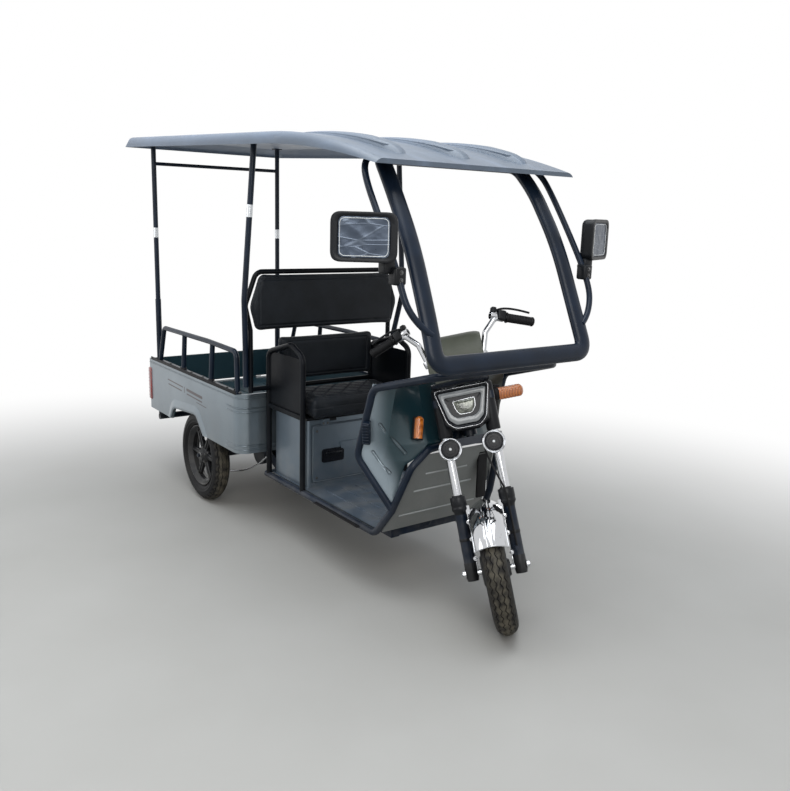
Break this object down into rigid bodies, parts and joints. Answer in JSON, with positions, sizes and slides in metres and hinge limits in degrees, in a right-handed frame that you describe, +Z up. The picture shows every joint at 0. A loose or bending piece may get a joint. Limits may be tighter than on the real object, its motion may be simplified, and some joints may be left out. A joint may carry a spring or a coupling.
{
  "type": "electric dump tricycle",
  "caption": "Electric cargo tricycle with a moulded canopy, open screen frame, bench seat, turning fork and a tipping load bed with side rails and tailgate.",
  "frame": {"origin": "on the ground under the middle of the whole tricycle as it stands, with its fork turned right", "axes": "+X ahead, +Y to the rider's left, +Z up"},
  "size_m": [2.7426, 1.2655, 1.823],
  "materials": {
    "black_frame": "satin",
    "silver_paint": "gloss",
    "silver_plastic": "gloss",
    "canopy_plastic": "satin",
    "bed_lining": "satin",
    "floor_paint": "satin",
    "black_vinyl": "satin",
    "black_plastic": "satin",
    "dash_plastic": "satin",
    "black_alloy": "satin",
    "chromed_steel": "polished",
    "tyre_rubber": "matte",
    "grip_rubber": "matte",
    "amber_lens": "gloss",
    "red_lens": "gloss",
    "clear_lens": "gloss",
    "mirror_glass": "polished",
    "battery_case": "matte"
  },
  "bodies": {
    "chassis": {"chassis_frame": "black_frame", "rear_axle": "black_frame", "leaf_springs": "black_frame", "battery_pack": "battery_case", "floor_pan": "floor_paint", "guard_frame": "black_frame", "leg_shield": "silver_plastic", "front_apron": "silver_plastic", "seat_box": "silver_paint", "seat_frame": "black_frame", "backrest_pads": "black_vinyl", "canopy_posts": "black_frame", "canopy_roof": "canopy_plastic", "screen_frame": "black_frame", "mirror_shells": "black_plastic", "mirror_glasses": "mirror_glass", "turn_signals": "amber_lens"},
    "steering": {"fork_yokes": "black_frame", "fork_stanchions": "chromed_steel", "fork_sliders": "black_frame", "front_axle": "chromed_steel", "front_mudguard": "chromed_steel", "front_brake_cable": "grip_rubber", "headlamp_shell": "black_plastic", "headlamp_lens": "clear_lens", "round_lamps": "chromed_steel", "handlebar": "chromed_steel", "handlebar_grips": "grip_rubber", "instrument_panel": "dash_plastic"},
    "front_wheel": {"front_tyre": "tyre_rubber", "front_rim": "black_alloy"},
    "rear_wheel_right": {"rear_tyre_right": "tyre_rubber", "rear_rim_right": "black_alloy"},
    "rear_wheel_left": {"rear_tyre_left": "tyre_rubber", "rear_rim_left": "black_alloy"},
    "bed": {"bed_side_left": "silver_paint", "bed_side_right": "silver_paint", "bed_front_panel": "silver_paint", "bed_floor": "bed_lining", "bed_subframe": "black_frame", "bed_rails": "black_frame", "tail_lamps": "red_lens"},
    "tailgate": {"tailgate": "silver_paint"},
    "seat": {"seat_base": "black_plastic", "seat_cushion": "black_vinyl"}
  },
  "joints": [
    {"name": "steering_turn", "type": "hinge", "parent": "chassis", "child": "steering", "pos_m": [1.14388, 0, 0.2145], "axis": [-0.3567, 0, 0.9342], "range_deg": [-4, 86]},
    {"name": "front_wheel_spin", "type": "hinge", "parent": "steering", "child": "front_wheel", "pos_m": [1.17843, -0.03215, 0.2277], "axis": [0.6129, 0.7547, 0.234], "continuous": true},
    {"name": "rear_wheel_right_spin", "type": "hinge", "parent": "chassis", "child": "rear_wheel_right", "pos_m": [-0.67135, -0.337, 0.233], "axis": [0, 1, 0], "continuous": true},
    {"name": "rear_wheel_left_spin", "type": "hinge", "parent": "chassis", "child": "rear_wheel_left", "pos_m": [-0.67135, 0.337, 0.233], "axis": [0, 1, 0], "continuous": true},
    {"name": "bed_tip", "type": "hinge", "parent": "chassis", "child": "bed", "pos_m": [-1.17135, 0, 0.385], "axis": [0, -1, 0], "range_deg": [0, 40]},
    {"name": "tailgate_drop", "type": "hinge", "parent": "bed", "child": "tailgate", "pos_m": [-1.24535, 0, 0.486], "axis": [0, -1, 0], "range_deg": [0, 170]},
    {"name": "seat_tip", "type": "hinge", "parent": "chassis", "child": "seat", "pos_m": [0.22165, 0, 0.588], "axis": [0, 1, 0], "range_deg": [0, 75]}
  ]
}
